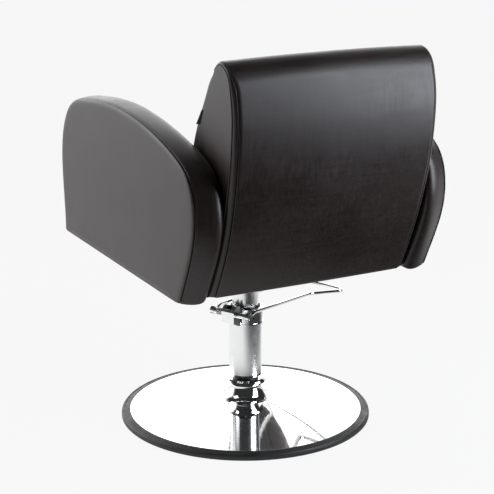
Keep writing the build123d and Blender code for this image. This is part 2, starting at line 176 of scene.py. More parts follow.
def plywood():
    """Birch plywood: long face grain and thin alternating plies."""
    s = Shader("plywood", Specular_IOR_Level=0.35)
    grain = s.noise(1.0, 5.0, s.stretched((14.0, 260.0, 260.0)), 0.6)
    plies = s.node("TexWave", output=1, settings={"bands_direction": "Z"}, Vector=s.place, Scale=52.0,
                   Distortion=0.6, Detail=2.0, Detail_Scale=3.0)
    tone = s.maths("ADD", s.maths("MULTIPLY", grain, 0.75), s.maths("MULTIPLY", plies, 0.25))
    s.bumps((grain, 0.0004, 0.4))
    return s.finish(s.tint(tone, (0.30, 0.18, 0.09), (0.62, 0.45, 0.27)), s.between(grain, 0.55, 0.72, 0.3, 0.7))


def cloth(name, dark, light, thread, depth, rough, sheen=0.25):
    """Woven or bonded cloth from two crossed thread patterns."""
    s = Shader(name, Specular_IOR_Level=sheen, Sheen_Weight=sheen)
    across = s.node("TexWave", output=1, settings={"bands_direction": "X"}, Vector=s.place, Scale=thread,
                    Distortion=1.2, Detail=2.0)
    along = s.node("TexWave", output=1, settings={"bands_direction": "Y"}, Vector=s.place, Scale=thread,
                   Distortion=1.2, Detail=2.0)
    fuzz = s.noise(700.0, 4.0)
    weave = s.maths("MAXIMUM", across, along)
    s.bumps((weave, depth, 0.5), (fuzz, 0.0002, 0.3))
    return s.finish(s.tint(s.maths("MULTIPLY", weave, fuzz), dark, light, 0.1, 0.6), s.between(fuzz, *rough, 0.3, 0.7))


def thread():
    s = Shader("bonded_thread", Specular_IOR_Level=0.5)
    twist = s.noise(1.0, 2.0, s.stretched((2600.0, 1800.0, 2600.0)))
    s.bumps((twist, 0.0002, 0.6))
    return s.finish(s.tint(twist, (0.010, 0.009, 0.009), (0.030, 0.028, 0.028)), s.between(twist, 0.42, 0.6, 0.3, 0.7))


MATERIALS = {
    "black_leatherette": leatherette(),
    "polished_chrome": chrome(),
    "black_rubber": rubber(),
    "cast_iron_ballast": metal("cast_iron_ballast", (0.020, 0.020, 0.021), (0.055, 0.054, 0.053),
                               (0.55, 0.75), (420.0, 420.0, 420.0), 0.0006, 0.3),
    "black_steel": metal("black_steel", (0.012, 0.012, 0.013), (0.028, 0.028, 0.030),
                         (0.38, 0.52), (900.0, 900.0, 900.0), 0.0001, 0.0),
    "bright_steel": metal("bright_steel", (0.42, 0.42, 0.43), (0.60, 0.60, 0.61),
                          (0.20, 0.34), (300.0, 300.0, 2400.0), 0.00008),
    "nylon": metal("nylon", (0.60, 0.59, 0.55), (0.72, 0.71, 0.67),
                   (0.42, 0.55), (700.0, 700.0, 700.0), 0.0001, 0.0),
    "plywood": plywood(),
    "underside_cloth": cloth("underside_cloth", (0.006, 0.006, 0.007), (0.030, 0.030, 0.032),
                             160.0, 0.0003, (0.75, 0.92)),
    "label_ribbon": cloth("label_ribbon", (0.002, 0.002, 0.002), (0.007, 0.007, 0.007),
                          420.0, 0.00015, (0.6, 0.75), 0.04),
    "thread": thread(),
}
MATERIALS["padded_leatherette"] = MATERIALS["black_leatherette"]
for node in nodes.values():
    for place, old in enumerate(node.data.materials):
        node.data.materials[place] = MATERIALS[old.name.split(".")[0]]
satin_chrome = chrome("satin_chrome", (0.20, 0.28))
for name in ("lower_tube", "column_skirt"):
    nodes[name].data.materials[0] = satin_chrome
# The upholstery is wrapped round the seat frame, so its edges show leatherette, not bare plies.
for name in ("seat_board", "seat_rail_front", "seat_rail_left", "seat_rail_right"):
    nodes[name].data.materials[0] = MATERIALS["black_leatherette"]


# ================================================================ outlines read from the CAD
def flat_side_loop(name, side=1):
    """Ordered (y, z) corners of the flat face that a CAD slab turns to +X or -X."""
    mesh = nodes[name].data
    reach = max(side * v.co.x for v in mesh.vertices)
    used = set()
    for face in mesh.polygons:
        corners = [mesh.vertices[i].co for i in face.vertices]
        if min(side * c.x for c in corners) > reach - 1e-5:
            keys = [(round(c.y, 6), round(c.z, 6)) for c in corners]
            for a, b in zip(keys, keys[1:] + keys[:1]):
                if (b, a) in used:
                    used.remove((b, a))
                else:
                    used.add((a, b))
    following = dict(used)
    loop = [min(following)]
    while following[loop[-1]] != loop[0]:
        loop.append(following[loop[-1]])
    return np.array(loop if side > 0 else loop[::-1])


def chord_lengths(points):
    steps = np.linalg.norm(np.diff(points, axis=0), axis=1)
    return np.concatenate([[0.0], np.cumsum(steps)])


def spline_through(points, count):
    """Points evenly spaced on the natural cubic spline through an open line."""
    at = chord_lengths(points)
    wanted = np.linspace(0, at[-1], count)
    if len(points) < 4:
        return np.stack([np.interp(wanted, at, points[:, k]) for k in range(points.shape[1])], axis=1)
    gap, last = np.diff(at), len(points) - 1
    matrix, right = np.eye(last + 1), np.zeros_like(points)
    for i in range(1, last):
        matrix[i, i - 1:i + 2] = gap[i - 1], 2 * (gap[i - 1] + gap[i]), gap[i]
        right[i] = 6 * ((points[i + 1] - points[i]) / gap[i] - (points[i] - points[i - 1]) / gap[i - 1])
    bend = np.linalg.solve(matrix, right)
    k = np.clip(np.searchsorted(at, wanted, side="right") - 1, 0, last - 1)
    ahead, behind, width = (at[k + 1] - wanted)[:, None], (wanted - at[k])[:, None], gap[k][:, None]
    return (bend[k] * ahead ** 3 / (6 * width) + bend[k + 1] * behind ** 3 / (6 * width)
            + (points[k] / width - bend[k] * width / 6) * ahead
            + (points[k + 1] / width - bend[k + 1] * width / 6) * behind)


def ease(value, start, end):
    share = np.clip((value - start) / (end - start), 0, 1)
    return share * share * (3 - 2 * share)


def unit(vectors):
    return vectors / np.linalg.norm(vectors, axis=-1, keepdims=True)


def leftward(direction):
    """Direction turned a quarter turn left, which points into a loop that runs anticlockwise."""
    return np.stack([-direction[..., 1], direction[..., 0]], axis=-1)


OUTSETS = 10               # how many steps outwards an outline keeps copies


class Outline:
    """A slab's (y, z) outline, evenly resampled, with inset copies in the same point order."""

    def __init__(self, loop, spacing, softening, depth, shallow=None, sharp=math.radians(50), counts=None):
        into, out = unit(loop - np.roll(loop, 1, axis=0)), unit(np.roll(loop, -1, axis=0) - loop)
        turn = np.arccos(np.clip((into * out).sum(1), -1, 1))
        corners = [i for i in range(len(loop)) if turn[i] > sharp]
        self.runs = [loop[np.arange(a, b + 1) % len(loop)]
                     for a, b in zip(corners, corners[1:] + [corners[0] + len(loop)])]
        self.counts = counts or [max(4, round(chord_lengths(run)[-1] / spacing)) for run in self.runs]
        self.starts = np.concatenate([[0], np.cumsum(self.counts)[:-1]])
        self.limits = [1.0 if shallow is None or count == max(self.counts) else shallow for count in self.counts]
        self.count = sum(self.counts)
        self.softening = softening
        self.step = MM
        self.loops = np.stack([self.inset(k * self.step) for k in range(-OUTSETS, round(depth / self.step) + 2)])

    def inset(self, distance):
        """The loop moved in by a distance, or along a short run by no more than the shallow limit."""
        lines, ends, depths = [], [], [min(distance, limit) for limit in self.limits]
        for run, count, depth in zip(self.runs, self.counts, depths):
            line = spline_through(run, 4 * count)
            along = unit(np.gradient(line, axis=0))
            lines.append(line + depth * leftward(along))
            ends.append((line[0], along[0], line[-1], along[-1]))
        made = []
        for i, (line, count) in enumerate(zip(lines, self.counts)):
            corner_points = []
            for here in (i, (i + 1) % len(ends)):
                walls = np.stack([leftward(ends[here - 1][3]), leftward(ends[here][1])])
                corner_points.append(ends[here][0] + np.linalg.solve(walls, [depths[here - 1], depths[here]]))
            start, end = corner_points
            third = len(line) // 3
            keep = np.ones(len(line), bool)
            keep[:third] = (line[:third] - start) @ ends[i][1] > self.step / 2
            keep[-third:] = (line[-third:] - end) @ ends[i][3] < -self.step / 2
            made.append(spline_through(np.vstack([start, line[keep], end]), count + 1)[:-1])
        whole = np.vstack(made)
        for _ in range(self.softening):
            mean = (np.roll(whole, 1, axis=0) + np.roll(whole, -1, axis=0)) / 2
            for at in self.starts:
                near = np.arange(at - 1, at + 2) % self.count
                whole[near] = (whole[near] + mean[near]) / 2
        return whole

    def soften(self, chosen, times):
        """Rounds the chosen points of every inset copy."""
        for _ in range(times):
            mean = (np.roll(self.loops, 1, axis=1) + np.roll(self.loops, -1, axis=1)) / 2
            self.loops[:, chosen] = (self.loops[:, chosen] + mean[:, chosen]) / 2

    def at(self, depth):
        """The outline moved in by a depth, or by one depth for each point."""
        place = np.broadcast_to(depth, self.count) / self.step + OUTSETS
        low = np.clip(place.astype(int), 0, len(self.loops) - 2)
        share, index = (place - low)[:, None], np.arange(self.count)
        return self.loops[low, index] * (1 - share) + self.loops[low + 1, index] * share


# ================================================================ mesh building
def at_x(x, line):
    """(y, z) points placed at an x, or at one x for each point."""
    return np.column_stack([np.broadcast_to(x, len(line)), line])


def fill(ring, shares=(0.93, 0.84, 0.72, 0.58, 0.42, 0.26, 0.12), rise=0.0):
    """Rings that shrink to the middle of a flat ring, raised by a crown towards its centre."""
    centre = ring.mean(0)
    made = [centre + (ring - centre) * s for s in shares]
    for ring_points, s in zip(made, shares):
        ring_points[:, 0] += rise * (1 - s * s)
    middle = centre + np.array([rise, 0, 0])
    return made, middle


def skin(rings, start=None, end=None):
    """Vertices and faces of a closed skin through rings, with a point at each end."""
    count = len(rings[0])
    points = [p for ring in rings for p in ring]
    faces = []
    for k in range(len(rings) - 1):
        a, b = k * count, (k + 1) * count
        faces += [(a + i, a + (i + 1) % count, b + (i + 1) % count, b + i) for i in range(count)]
    for middle, at in ((start, 0), (end, (len(rings) - 1) * count)):
        if middle is not None:
            points.append(middle)
            faces += [(at + (i + 1) % count, at + i, len(points) - 1) for i in range(count)]
    if start is None and end is None:
        a, b = (len(rings) - 1) * count, 0
        faces += [(a + i, a + (i + 1) % count, b + (i + 1) % count, b + i) for i in range(count)]
    return points, faces


def shell(outer, inner):
    """A closed shell between two grids of points of the same size."""
    rows, columns = outer.shape[:2]
    points = [*outer.reshape(-1, 3), *inner.reshape(-1, 3)]
    half = rows * columns
    faces = []
    for r in range(rows - 1):
        for c in range(columns - 1):
            a = r * columns + c
            faces.append((a, a + 1, a + columns + 1, a + columns))
            faces.append((half + a, half + a + columns, half + a + columns + 1, half + a + 1))
    border = ([(0, c) for c in range(columns)] + [(r, columns - 1) for r in range(1, rows)]
              + [(rows - 1, c) for c in range(columns - 2, -1, -1)] + [(r, 0) for r in range(rows - 2, 0, -1)])
    ids = [r * columns + c for r, c in border]
    faces += [(a, b, half + b, half + a) for a, b in zip(ids, ids[1:] + ids[:1])]
    return points, faces


def build(name, points, faces, material, body="chair", mirror=False, merge=1e-6):
    """A smooth closed mesh object in the frame's coordinates."""
    points = np.array(points, float)
    if mirror:
        points[:, 0] *= -1
    mesh = bpy.data.meshes.new(name)
    mesh.from_pydata(points.tolist(), [], faces)
    work = bmesh.new()
    work.from_mesh(mesh)
    bmesh.ops.remove_doubles(work, verts=work.verts, dist=merge)
    bmesh.ops.recalc_face_normals(work, faces=work.faces)
    for face in work.faces:
        face.smooth = True
    work.to_mesh(mesh)
    work.free()
    mesh.materials.append(MATERIALS[material])
    made = bpy.data.objects.new(name, mesh)
    scene.collection.objects.link(made)
    if body:
        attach(made, body)
    return made


def ripple(points, wavelength, amplitude, seed):
    """A repeatable uneven height for each point, in metres."""
    shift = Vector((seed * 7.3, seed * 3.1, seed * 1.7))
    return np.array([amplitude * noise.noise(Vector(p) / wavelength + shift) for p in points])


# ================================================================ stitches
STITCH_SIDES = 6
# shares of a stitch's length from its middle, of its thickness, and of its radius above the surface
STITCH_STATIONS = ((-0.5, 0.25, -0.9), (-0.36, 0.85, -0.1), (0.0, 1.0, 0.35), (0.36, 0.85, -0.1), (0.5, 0.25, -0.9))


def stitch_row(points, normals, pitch=4.6 * MM, length=3.4 * MM, radius=0.42 * MM):
    """Short raised threads along a line that lies on a surface."""
    at = chord_lengths(points)
    made_points, made_faces = [], []
    outside_painted_shadow, stations = STITCH_SIDES, STITCH_STATIONS
    for start in np.arange(pitch / 2, at[-1] - length, pitch):
        def on(distance, values):
            return np.array([np.interp(distance, at, values[:, k]) for k in range(3)])
        middle, ahead = on(start, points), on(start + length / 2, points) - on(start - length / 2, points)
        if np.linalg.norm(ahead) < 1e-6:
            continue
        along, up = unit(ahead), unit(on(start, normals))
        across = unit(np.cross(along, up))
        base = len(made_points)
        for share, width, lift in stations:
            centre = middle + along * (share * length) + up * (lift * radius)
            for k in range(outside_painted_shadow):
                angle = 2 * math.pi * k / outside_painted_shadow
                made_points.append(centre + radius * width * (across * math.cos(angle) + up * math.sin(angle)))
        for s in range(len(stations) - 1):
            for k in range(outside_painted_shadow):
                a, b = base + s * outside_painted_shadow + k, base + s * outside_painted_shadow + (k + 1) % outside_painted_shadow
                made_faces.append((a, b, b + outside_painted_shadow, a + outside_painted_shadow))
        made_faces.append(tuple(base + k for k in range(outside_painted_shadow)))
        made_faces.append(tuple(base + (len(stations) - 1) * outside_painted_shadow + k for k in reversed(range(outside_painted_shadow))))
    return made_points, made_faces


def stitches(name, rows, mirror=False):
    """One object for several rows of stitches, each a line of points with its normals."""
    points, faces = [], []
    for row_points, row_normals in rows:
        more_points, more_faces = stitch_row(row_points, row_normals)
        faces += [tuple(i + len(points) for i in face) for face in more_faces]
        points += more_points
    return build(name, points, faces, "thread", mirror=mirror, merge=0.0)


# ================================================================ arms
ARM_GAP, ARM_DEPTH = 4.6 * MM, 38 * MM
SHALLOW = 2.0 * MM         # a flat foot moves in by no more than this
arm = Outline(flat_side_loop("arm_outer_pad_left"), ARM_GAP, 1, ARM_DEPTH, SHALLOW)
elbow = Outline(flat_side_loop("arm_inner_pad_left", -1), ARM_GAP, 1, ARM_DEPTH, SHALLOW, counts=arm.counts)
arm_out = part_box("arm_outer_pad_left")[1].x
arm_edge = arm.at(0.0)
arm_away = -leftward(unit(np.roll(arm_edge, -1, axis=0) - np.roll(arm_edge, 1, axis=0)))

# cross sections, as millimetres in from the outer face and in from the outline
ARM_OUTER = [(-0.1, 26), (-0.2, 17), (-0.4, 11.5), (-0.7, 7.6), (-1.2, 4.8), (-1.9, 2.9), (-2.8, 1.5),
             (-3.7, 0.9), (-4.4, 1.2), (-4.9, 2.6), (-5.0, 5), (-5.1, 10), (-5.2, 14.4), (-22, 14.6)]
ARM_BAND = [(-6.6, 13.9), (-6.4, 5), (-6.4, 2.8), (-6.7, 1.3), (-7.5, 0.2), (-8.8, -0.4), (-10.4, -0.9),
            (-14, -1.9), (-20, -3.1), (-28, -4.1), (-36, -4.5), (-44, -4.2), (-50, -3.3), (-54.5, -2.0),
            (-58, -0.4), (-60.8, 1.8), (-63, 4.8), (-64.4, 8.4), (-65.2, 12.4), (-65.5, 15.5), (-65.2, 17.4),
            (-63.5, 18.4), (-58, 18.2), (-50, 14.5), (-42, 13.9)]
ARM_INNER = [(-66.4, 36), (-66.3, 29), (-66.1, 25), (-65.7, 22.6), (-65, 21), (-63.8, 20.2),
             (-62.6, 20.4), (-62, 21.6), (-62, 24), (-43, 25)]
OUTER_SEAM, INNER_SEAM = (-5.7, 1.0), (-65.2, 18.6)
PUCKER_REACH = 4.5         # millimetres from a seam
PAD_INSET = 4.0 * MM       # the CAD's inner pad lies this far inside the band


def arm_line(x, depth):
    """The arm's outline at millimetres in from its outer face, flaring behind the elbow, and at a depth."""
    share = ease(-x, 4.0, 60.0)
    return arm.at(depth * MM) * (1 - share) + elbow.at(depth * MM - PAD_INSET) * share


def arm_rings(profile, seed):
    """Rings along the arm's outline, with small puckers close to the seams."""
    pucker = ripple(at_x(0, arm_edge), 11 * MM, 0.5 * MM, seed)
    rings = []
    for x, depth in profile:
        near = max(math.exp(-(math.hypot(x - seam_x, depth - seam_depth) / PUCKER_REACH) ** 2)
                   for seam_x, seam_depth in (OUTER_SEAM, INNER_SEAM))
        ring = at_x(arm_out + x * MM, arm_line(x, depth))
        ring[:, 1:] += arm_away * (pucker * near)[:, None]
        ring[:, 0] += 0.6 * pucker * near
        rings.append(ring)
    return rings


def arm_row(x, depth, tilt):
    """A line of stitches round the arm, with normals tilted from the band towards -X."""
    ring = at_x(arm_out + x * MM, arm_line(x, depth))
    normals = np.column_stack([np.full(len(ring), -math.sin(tilt)), arm_away * math.cos(tilt)])
    return np.vstack([ring, ring[:1]]), np.vstack([normals, normals[:1]])


for side, sign in SIDES:
    mirror = sign < 0
    outer, inner = arm_rings(ARM_OUTER, 1), arm_rings(ARM_INNER, 2)
    swell, middle = fill(outer[0], rise=1.4 * MM)
    back, back_middle = fill(outer[-1], (0.8, 0.4))
    panel = build(f"arm_panel_outer_{side}", *skin(swell[::-1] + outer + back, middle, back_middle),
                  "padded_leatherette", mirror=mirror)
    swell, middle = fill(inner[0], rise=-1.0 * MM)
    back, back_middle = fill(inner[-1], (0.8, 0.4))
    lining = build(f"arm_panel_inner_{side}", *skin(swell[::-1] + inner + back, middle, back_middle),
                   "padded_leatherette", mirror=mirror)
    band = build(f"arm_band_cover_{side}", *skin(arm_rings(ARM_BAND, 3)), "black_leatherette", mirror=mirror)
    rows = [arm_row(-10.4, -0.9, 0.0), arm_row(-63.0, 4.8, 0.9)]
    stitches(f"arm_stitches_{side}", rows, mirror)
    for piece, stood_for, slot, firm in ((panel, "arm_outer_pad_", "padded_leatherette", 0.9),
                                         (lining, "arm_inner_pad_", "padded_leatherette", 0.85),
                                         (band, "arm_band_", "black_leatherette", 0.9)):
        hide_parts(stood_for + side)


# ================================================================ back
back = Outline(flat_side_loop("back_side_left", -1), 5 * MM, 1, 36 * MM, SHALLOW)
back_half, _, back_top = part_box("back_side_left")[1]
back.soften(back.at(0.0)[:, 1] > back_top - 30 * MM, 4)
line = back.at(0.0)
start = back.starts[int(np.argmax(back.counts))]
order = (np.arange(back.count) + start) % back.count      # from the rear foot, up and over to the front foot
place = np.empty(back.count)
place[order] = np.arange(back.count)
curve_end = max(back.counts)
top_place = int(np.argmax(line[order, 1]))
TOP_SPAN = 27 * MM         # from the top of the back forwards to its front seam
front_seam = next(i for i in range(top_place, curve_end) if line[order[i], 0] < line[order[top_place], 0] - TOP_SPAN)

# 1 on the front and the foot of the back, 0 on its rear and top
FOOT_POINTS = 30
on_front = ease(place, front_seam + 1, front_seam + 9) * (place < back.count - FOOT_POINTS)
foot_zone = ease(place, curve_end - 2, curve_end) * (1 - ease(place, back.count - 8, back.count - 3))
on_front = np.maximum(on_front, foot_zone)
height = line[:, 1]
rear_radius = (20 - 2 * ease(height, 0.50, 0.75) - 9 * ease(height, back_top - 50 * MM, back_top - 8 * MM)) * MM
FRONT_RADIUS = 9 * MM
radius = rear_radius * (1 - on_front) + FRONT_RADIUS * on_front
# the two side seams, as angles round the rounded edge from the side face
seam_one = np.radians(14) * (1 - on_front) + np.radians(86) * on_front
seam_two = np.radians(72 - 10 * ease(height, 0.50, 0.78))
top_zone = ease(height, back_top - 50 * MM, back_top - 12 * MM) * (1 - on_front)


def back_points(x, depth, keep=slice(None)):
    """Points round the back at an x and a depth below its outline, with the crown of the panel."""
    across = np.abs(x) / back_half
    crown = top_zone * (2.5 * across ** 2 - 1.5) * MM - 1.2 * MM * np.maximum(0, 1 - across ** 2) * (1 - on_front)
    return at_x(x, back.at(depth + crown))[keep]


def round_edge(angle, sunk, keep=slice(None)):
    """Points on the back's rounded edge at an angle from its side face, sunk below the surface."""
    reach = radius - sunk
    return back_points(back_half - radius + reach * np.cos(angle), radius - reach * np.sin(angle), keep)


DEGREE = math.radians(1)
GROOVE = [(9.0, 0.0), (6.0, 0.15), (3.4, 0.8), (1.8, 2.0)]      # degrees from the seam, millimetres deep
LINING = 5 * MM                                                 # how deep the covers' hidden backs lie
covered = order[np.arange(-5, front_seam + 1)]


def side_rings():
    """Rings of a gusset, from its side face round to its seam and in behind it."""
    rings = [round_edge((seam_one - GROOVE[0][0] * DEGREE) * k / 7, 0.0) for k in range(8)]
    rings += [round_edge(seam_one - angle * DEGREE, deep * MM) for angle, deep in GROOVE[1:]]
    rings.append(round_edge(seam_one - GROOVE[-1][0] * DEGREE, LINING))
    rings.append(back_points(back_half - radius - 1 * MM, radius + 1 * MM))
    rings.append(back_points(np.full(back.count, back_half - 10.8 * MM), radius + LINING))
    return rings


def seam_strip():
    """The strip between a gusset and the rear panel, slightly swollen between its grooves."""
    rows = [(seam_one + angle * DEGREE, deep) for angle, deep in GROOVE[::-1]]
    rows += [(seam_one + (seam_two - seam_one) * k / 6, -0.25) for k in (2, 3, 4)]
    rows += [(seam_two - angle * DEGREE, deep) for angle, deep in GROOVE]
    outside = [round_edge(angle, deep * MM, covered) for angle, deep in rows]
    inside = [round_edge(angle, LINING, covered) for angle, _ in rows]
    return shell(np.stack(outside, 1), np.stack(inside, 1))


def rear_panel():
    """The rear panel and the top, from seam to seam."""
    outside, inside = [], []
    for angle, deep in GROOVE[::-1]:
        outside.append(round_edge(seam_two + angle * DEGREE, deep * MM, covered))
        inside.append(round_edge(seam_two + angle * DEGREE, LINING, covered))
    first = seam_two + GROOVE[0][0] * DEGREE
    for k in (1, 2, 3):
        angle = first + np.maximum(math.pi / 2 - first, 0) * k / 3
        outside.append(round_edge(angle, 0.0, covered))
        inside.append(round_edge(angle, (5 + 2 * k) * MM, covered))
    columns = 46
    flat_out, flat_in = [], []
    for k in range(1, columns):
        x = (back_half - radius) * math.cos(math.pi * k / columns)
        flat_out.append(back_points(x, 0.0, covered))
        flat_in.append(back_points(x, 12 * MM, covered))
    flip = np.array([-1, 1, 1])
    outside += flat_out + [p * flip for p in outside[::-1]]
    inside += flat_in + [p * flip for p in inside[::-1]]
    return shell(np.stack(outside, 1), np.stack(inside, 1))


def edge_row(seam, offset):
    """Stitches beside a seam of the back, a few degrees round its rounded edge."""
    angle = seam + offset * DEGREE
    here, above = round_edge(angle, 0.1 * MM, covered), round_edge(angle, -1 * MM, covered)
    return here, unit(above - here)


rear = build("back_cover_rear", *rear_panel(), "black_leatherette")
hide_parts("back_rear_panel")
for side, sign in SIDES:
    mirror = sign < 0
    rings = side_rings()
    swell, middle = fill(rings[0], rise=0.8 * MM)
    behind, behind_middle = fill(rings[-1], (0.7, 0.35))
    gusset = build(f"back_gusset_{side}", *skin(swell[::-1] + rings + behind, middle, behind_middle),
                   "black_leatherette", mirror=mirror)
    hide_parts(f"back_side_{side}")
    strip = build(f"back_seam_strip_{side}", *seam_strip(), "black_leatherette", mirror=mirror)
    stitches(f"back_stitches_{side}", [edge_row(seam_one, 10.0), edge_row(seam_two, -10.0)], mirror)


# ================================================================ cushions
def slab(outline, half, radius, inset=0.0, gap=9 * MM):
    """A closed slab across the chair with rounded side edges."""
    turns = [k * math.pi / 12 for k in range(7)]
    edge = [at_x(half - radius * (1 - math.cos(a)), outline.at(inset + radius * (1 - math.sin(a)))) for a in turns]
    inner_half = half - radius
    columns = max(2, round(2 * inner_half / gap))
    across = [at_x(inner_half - 2 * inner_half * k / columns, outline.at(inset)) for k in range(1, columns)]
    flip = np.array([-1, 1, 1])
    rings = edge + across + [ring * flip for ring in edge[::-1]]
    near, near_middle = fill(rings[0])
    far, far_middle = fill(rings[-1])
    return skin(near[::-1] + rings + far, near_middle, far_middle)


def inflate(piece, held, cap, shape, voxel=5 * MM, pressure=4.0, steps=20):
    """Cloth simulation: the piece swells under pressure, except where held says, by no more than cap."""
    remesh = piece.modifiers.new("even", "REMESH")
    remesh.mode, remesh.voxel_size = "VOXEL", voxel
    even = bpy.data.meshes.new_from_object(piece.evaluated_get(bpy.context.evaluated_depsgraph_get()))
    piece.modifiers.clear()
    piece.data = even
    rest = np.array([v.co for v in even.vertices])
    group = piece.vertex_groups.new(name="held")
    for index, weight in enumerate(held(rest)):
        group.add([index], float(weight), "REPLACE")
    cloth = piece.modifiers.new("swell", "CLOTH")
    settings = cloth.settings
    settings.quality = 5
    settings.use_pressure = True
    settings.uniform_pressure_force = pressure
    settings.effector_weights.gravity = 0.0
    settings.vertex_group_mass = "held"
    settings.tension_stiffness = settings.compression_stiffness = 25.0
    settings.bending_stiffness = 2.0
    for step in range(1, steps + 1):
        scene.frame_set(step)
    swollen = piece.evaluated_get(bpy.context.evaluated_depsgraph_get()).data
    moved = np.array([v.co for v in swollen.vertices])
    piece.modifiers.clear()
    piece.vertex_groups.clear()
    scene.frame_set(1)
    shift = moved - rest
    far = np.linalg.norm(shift, axis=1)
    soft_cap = cap * np.tanh(far / cap)
    rest = rest + shift * (soft_cap / np.maximum(far, 1e-9))[:, None]
    even.vertices.foreach_set("co", shape(rest).astype(np.float32).ravel())
    even.update()
    finer = piece.modifiers.new("finer", "SUBSURF")
    finer.levels = finer.render_levels = 1
    fine = bpy.data.meshes.new_from_object(piece.evaluated_get(bpy.context.evaluated_depsgraph_get()))
    piece.modifiers.clear()
    piece.data = fine
    for face in fine.polygons:
        face.use_smooth = True
    fine.materials.clear()
    fine.materials.append(MATERIALS["padded_leatherette"])


def surface_tree(piece):
    return BVHTree.FromPolygons([v.co for v in piece.data.vertices], [p.vertices for p in piece.data.polygons])


def laid_on(tree, points):
    """The nearest points on a surface and its normals there."""
    found = [tree.find_nearest(Vector(p)) for p in points]
    return np.array([f[0] for f in found]), np.array([f[1] for f in found])


def sew(piece, lines, depth=1.6 * MM, width=2.6 * MM):
    """Presses a groove into the piece along lines that lie on it."""
    mesh = piece.data
    at = np.array([v.co for v in mesh.vertices])
    normals = np.array([v.normal for v in mesh.vertices])
    sunk = np.zeros(len(at))
    for line in lines:
        low, high = line.min(0) - 4 * width, line.max(0) + 4 * width
        close = np.flatnonzero(((at > low) & (at < high)).all(1))
        for chunk in np.array_split(close, max(1, len(close) // 4000)):
            gaps = np.full(len(chunk), 1e9)
            for a, b in zip(line[:-1], line[1:]):
                along = b - a
                share = np.clip(((at[chunk] - a) @ along) / max(along @ along, 1e-12), 0, 1)
                gaps = np.minimum(gaps, np.linalg.norm(at[chunk] - a - share[:, None] * along, axis=1))
            sunk[chunk] = np.maximum(sunk[chunk], depth * np.exp(-(gaps / width) ** 2))
    mesh.vertices.foreach_set("co", (at - normals * sunk[:, None]).astype(np.float32).ravel())
    mesh.update()


def evenly(points, gap=3 * MM):
    """Points at even distances along a line."""
    at = chord_lengths(points)
    wanted = np.linspace(0, at[-1], max(2, round(at[-1] / gap)))
    return np.stack([np.interp(wanted, at, points[:, k]) for k in range(3)], axis=1)


def dress(piece, nodes_replaced, seams, name):
    """Seam grooves with a row of stitches on each side."""
    tree = surface_tree(piece)
    lines = [laid_on(tree, evenly(seam))[0] for seam, _ in seams]
    sew(piece, lines)
    tree = surface_tree(piece)
    rows = []
    for (seam, aside), line in zip(seams, lines):
        for way in (1, -1):
            rows.append(laid_on(tree, line + np.asarray(aside) * way))
    stitches(name, rows)
    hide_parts(*nodes_replaced)


seat = Outline(flat_side_loop("seat_cushion"), 6 * MM, 4, 30 * MM)
seat_low, seat_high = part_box("seat_cushion")
seat_half = seat_high.x
board_low, board_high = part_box("seat_board")
BOARD_THICKNESS = 15 * MM
seat_slope = (board_high.z - board_low.z - BOARD_THICKNESS) / (board_high.y - board_low.y)


def seat_floor(y):
    """Height of the seat board's upper face at a y."""
    return board_high.z + (board_low.y - y) * seat_slope


def seat_held(points):
    """Held against the seat board."""
    return 1 - ease(points[:, 2] - seat_floor(points[:, 1]), 6 * MM, 30 * MM)


def seat_shape(points):
    """Crown of the seat, flat underneath, with sides clear of the arms."""
    x, y, z = points.T
    room = seat_half + 0.6 * MM
    x = np.clip(x, -room, room)
    y = np.minimum(y, seat_high.y + 1 * MM)
    up = ease(z - seat_floor(y), 30 * MM, 75 * MM)
    middle = (seat_low.y + seat_high.y) / 2
    crown = np.maximum(0, 1 - (x / seat_half) ** 2) * np.maximum(0, 1 - ((y - middle) / (seat_high.y - middle)) ** 2)
    z = z + up * 7 * MM * crown - 5 * MM * (1 - ease(z - seat_floor(y), 6 * MM, 40 * MM))
    z = np.maximum(z, seat_floor(y) + 0.2 * MM)
    at_front = ease(-y, -seat_low.y - 40 * MM, -seat_low.y - 8 * MM)
    y = y - 4 * MM * (1 - ease(z - seat_floor(y), 0, 30 * MM)) * at_front
    return np.stack([x, y, z], 1)


seat_pad = build("seat_cushion_cover", *slab(seat, seat_half - 5 * MM, 16 * MM, 5 * MM), "padded_leatherette",
                 body=None)
inflate(seat_pad, seat_held, 8 * MM, seat_shape)
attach(seat_pad, "chair")
top_edge = seat.at(1 * MM)
upper = top_edge[:, 1] > seat_floor(top_edge[:, 0]) + 12 * MM
ring_order = np.roll(np.arange(seat.count), -int(np.flatnonzero(~upper & np.roll(upper, -1))[0]) - 1)
ring_order = ring_order[upper[ring_order]]
BESIDE = 3.4 * MM          # stitches from a cushion's seam
seat_seams = [(at_x(sign * (seat_half - 5 * MM), top_edge[ring_order]), (BESIDE, 0, 0)) for _, sign in SIDES]
nose = np.column_stack([np.linspace(-1, 1, 60) * (seat_half - 9 * MM), np.full(60, seat_low.y + 2 * MM),
                        np.full(60, seat_floor(seat_low.y) + 22 * MM)])
seat_seams.append((nose, (0, 0, BESIDE)))
dress(seat_pad, ["seat_cushion"], seat_seams, "seat_stitches")

rear_side = order[:top_place]
rear_inset = back.at(31 * MM)[rear_side]
rear_inset = rear_inset[rear_inset[:, 1] < back_top - 52 * MM]
rear_inset = rear_inset[rear_inset[:, 1] > seat_floor(0.25) + 6 * MM]
front_line = back.at(0.0)[order[front_seam + 1:curve_end + 1]]
lean = Outline(np.vstack([rear_inset[::3], front_line[::3], front_line[-1:]]), 6 * MM, 4, 30 * MM)
lean_half = back_half - 11.2 * MM


def lean_held(points):
    """Held against the back board."""
    tops = np.interp(points[:, 2], rear_inset[:, 1], rear_inset[:, 0])
    return 1 - ease(tops - points[:, 1], 6 * MM, 32 * MM)


